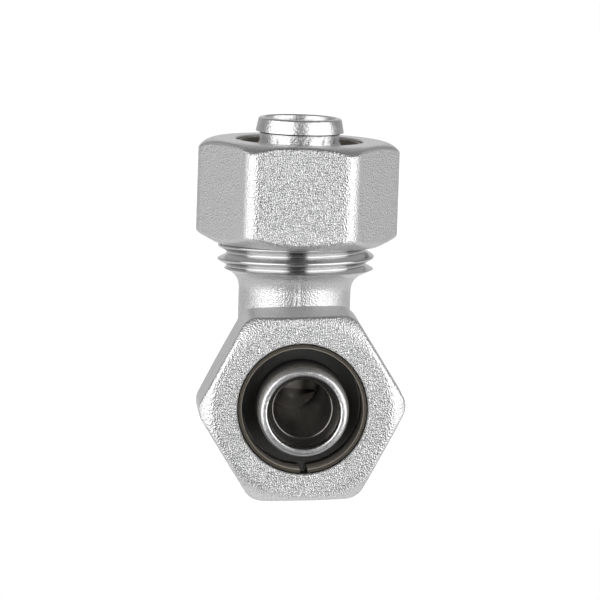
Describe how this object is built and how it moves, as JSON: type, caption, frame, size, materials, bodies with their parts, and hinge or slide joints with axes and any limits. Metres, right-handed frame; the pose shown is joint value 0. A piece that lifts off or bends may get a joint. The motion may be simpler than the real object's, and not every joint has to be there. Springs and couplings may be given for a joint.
{
  "type": "compression fitting elbow",
  "caption": "Right-angle compression fitting for multilayer pipe: forged elbow with male threads, hexagonal union nuts, split clamping rings and sealed pipe spigots.",
  "frame": {"origin": "point where the centre lines of the two arms cross", "axes": "+Z out of the upper arm, -Y out of the front arm, X across both"},
  "size_m": [0.027, 0.0473, 0.0476],
  "materials": {
    "forged_body": "nickel plated, blasted forging with turned ends",
    "union_nuts": "nickel plated, blasted forging",
    "split_rings": "turned, thinly plated",
    "seals": "satin black rubber",
    "washers": "matt black plastic"
  },
  "bodies": {
    "elbow": {"elbow_body": "forged_body", "upper_inner_o_ring": "seals", "upper_outer_o_ring": "seals", "front_inner_o_ring": "seals", "front_outer_o_ring": "seals", "upper_insulating_washer": "washers", "front_insulating_washer": "washers"},
    "upper_ring": {"upper_split_ring": "split_rings"},
    "upper_union": {"upper_nut": "union_nuts"},
    "front_ring": {"front_split_ring": "split_rings"},
    "front_union": {"front_nut": "union_nuts"}
  },
  "joints": [
    {"name": "upper_ring_travel", "type": "slide", "parent": "elbow", "child": "upper_ring", "axis": [0, 0, 1], "range_m": [-0.00215, 0.00536]},
    {"name": "upper_nut_turn", "type": "hinge", "parent": "upper_ring", "child": "upper_union", "pos_m": [0, 0, 0.0255], "axis": [0, 0, 1], "range_deg": [-420, 1060]},
    {"name": "front_ring_travel", "type": "slide", "parent": "elbow", "child": "front_ring", "axis": [0, -1, 0], "range_m": [-0.00115, 0.00636]},
    {"name": "front_nut_turn", "type": "hinge", "parent": "front_ring", "child": "front_union", "pos_m": [0, -0.0245, 0], "axis": [0, -1, 0], "range_deg": [-225, 1260]}
  ],
  "couplings": [
    {"joint": "upper_ring_travel", "follows": "upper_nut_turn", "m_per_rad": 0.00028875},
    {"joint": "front_ring_travel", "follows": "front_nut_turn", "m_per_rad": 0.00028875}
  ]
}
